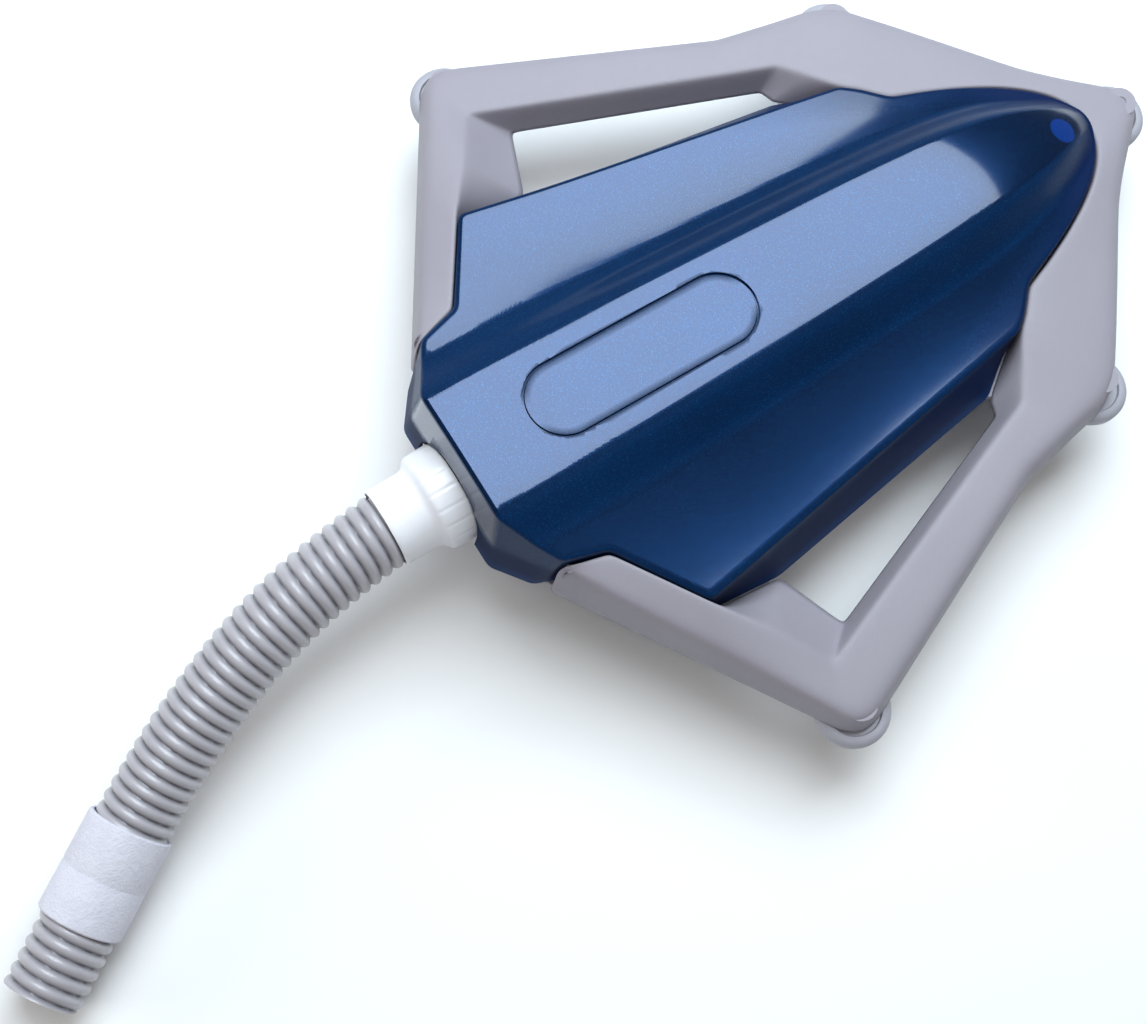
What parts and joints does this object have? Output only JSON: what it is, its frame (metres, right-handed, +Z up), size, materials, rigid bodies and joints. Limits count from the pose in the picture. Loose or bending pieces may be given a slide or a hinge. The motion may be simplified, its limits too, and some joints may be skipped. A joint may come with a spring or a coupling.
{
  "type": "pool cleaner",
  "caption": "Pressure-fed pool cleaner with a hinged translucent shell over a base, a kite-shaped bumper frame on rollers, and a ribbed feed hose at its tail.",
  "frame": {"origin": "on the floor, under the middle of the cleaner's box without its free hose", "axes": "+X to the nose, +Y to the cleaner's left, +Z up"},
  "size_m": [0.7536, 0.435, 0.1135],
  "materials": {
    "blue_shell": "translucent pearl blue, polished",
    "grey_frame": "fine moulded grain",
    "grey_base": "fine moulded grain",
    "roller_grey": "smooth moulded",
    "wheel_dark": "smooth moulded",
    "white_plastic": "satin moulded",
    "hose_grey": "ribbed, satin gloss",
    "clear_grey": "smooth moulded",
    "steel": "stainless, brushed",
    "seal_rubber": "matt",
    "foam": "closed-cell foam",
    "bag_mesh": "fine woven mesh",
    "ballast": "powder coated"
  },
  "bodies": {
    "base": {"bumper_frame": "grey_frame", "base_pan": "grey_base", "hinge_pin": "steel", "roller_pins": "steel", "roller_washers": "white_plastic", "wheel_pins": "steel", "frame_screws": "steel", "vacuum_tube": "clear_grey", "venturi_jets": "white_plastic", "jet_ring": "clear_grey", "hose_tailpiece": "white_plastic", "feed_pipe": "white_plastic", "thrust_pipe": "clear_grey", "collar_seal": "seal_rubber", "supply_hose": "hose_grey", "hose_sleeve": "white_plastic", "bag_collar": "white_plastic", "debris_bag": "bag_mesh", "tub_floats": "foam", "ballast_weight": "ballast", "ballast_screw": "steel"},
    "lid": {"top_shell": "blue_shell", "crown_float": "foam"},
    "collar": {"hose_collar": "white_plastic"},
    "nozzle": {"thrust_nozzle": "white_plastic"},
    "roller_rear_left_body": {"roller_rear_left": "roller_grey"},
    "roller_rear_right_body": {"roller_rear_right": "roller_grey"},
    "roller_front_left_body": {"roller_front_left": "roller_grey"},
    "roller_front_right_body": {"roller_front_right": "roller_grey"},
    "roller_nose_body": {"roller_nose": "roller_grey"},
    "wheel_rear_left_body": {"wheel_rear_left": "wheel_dark"},
    "wheel_rear_right_body": {"wheel_rear_right": "wheel_dark"},
    "wheel_front_left_body": {"wheel_front_left": "wheel_dark"},
    "wheel_front_right_body": {"wheel_front_right": "wheel_dark"}
  },
  "joints": [
    {"name": "lid_hinge", "type": "hinge", "parent": "base", "child": "lid", "pos_m": [0.186, 0, 0.074], "axis": [0, 1, 0], "range_deg": [0, 48]},
    {"name": "collar_swivel", "type": "hinge", "parent": "base", "child": "collar", "pos_m": [-0.225, 0, 0.065], "axis": [1, 0, 0], "continuous": true},
    {"name": "nozzle_aim", "type": "hinge", "parent": "base", "child": "nozzle", "pos_m": [-0.196, 0, 0.034], "axis": [0, 0, 1], "range_deg": [-20, 20]},
    {"name": "roller_rear_left_spin", "type": "hinge", "parent": "base", "child": "roller_rear_left_body", "pos_m": [-0.094, 0.198, 0.0495], "axis": [0, 0, 1], "continuous": true},
    {"name": "roller_rear_right_spin", "type": "hinge", "parent": "base", "child": "roller_rear_right_body", "pos_m": [-0.094, -0.198, 0.0495], "axis": [0, 0, 1], "continuous": true},
    {"name": "roller_front_left_spin", "type": "hinge", "parent": "base", "child": "roller_front_left_body", "pos_m": [0.114, 0.1245, 0.0495], "axis": [0, 0, 1], "continuous": true},
    {"name": "roller_front_right_spin", "type": "hinge", "parent": "base", "child": "roller_front_right_body", "pos_m": [0.114, -0.1245, 0.0495], "axis": [0, 0, 1], "continuous": true},
    {"name": "roller_nose_spin", "type": "hinge", "parent": "base", "child": "roller_nose_body", "pos_m": [0.2225, 0, 0.0495], "axis": [0, 0, 1], "continuous": true},
    {"name": "wheel_rear_left_spin", "type": "hinge", "parent": "base", "child": "wheel_rear_left_body", "pos_m": [-0.12, 0.098, 0.014], "axis": [0, 1, 0], "continuous": true},
    {"name": "wheel_rear_right_spin", "type": "hinge", "parent": "base", "child": "wheel_rear_right_body", "pos_m": [-0.12, -0.098, 0.014], "axis": [0, 1, 0], "continuous": true},
    {"name": "wheel_front_left_spin", "type": "hinge", "parent": "base", "child": "wheel_front_left_body", "pos_m": [0.074, 0.082, 0.014], "axis": [0, 1, 0], "continuous": true},
    {"name": "wheel_front_right_spin", "type": "hinge", "parent": "base", "child": "wheel_front_right_body", "pos_m": [0.074, -0.082, 0.014], "axis": [0, 1, 0], "continuous": true}
  ]
}
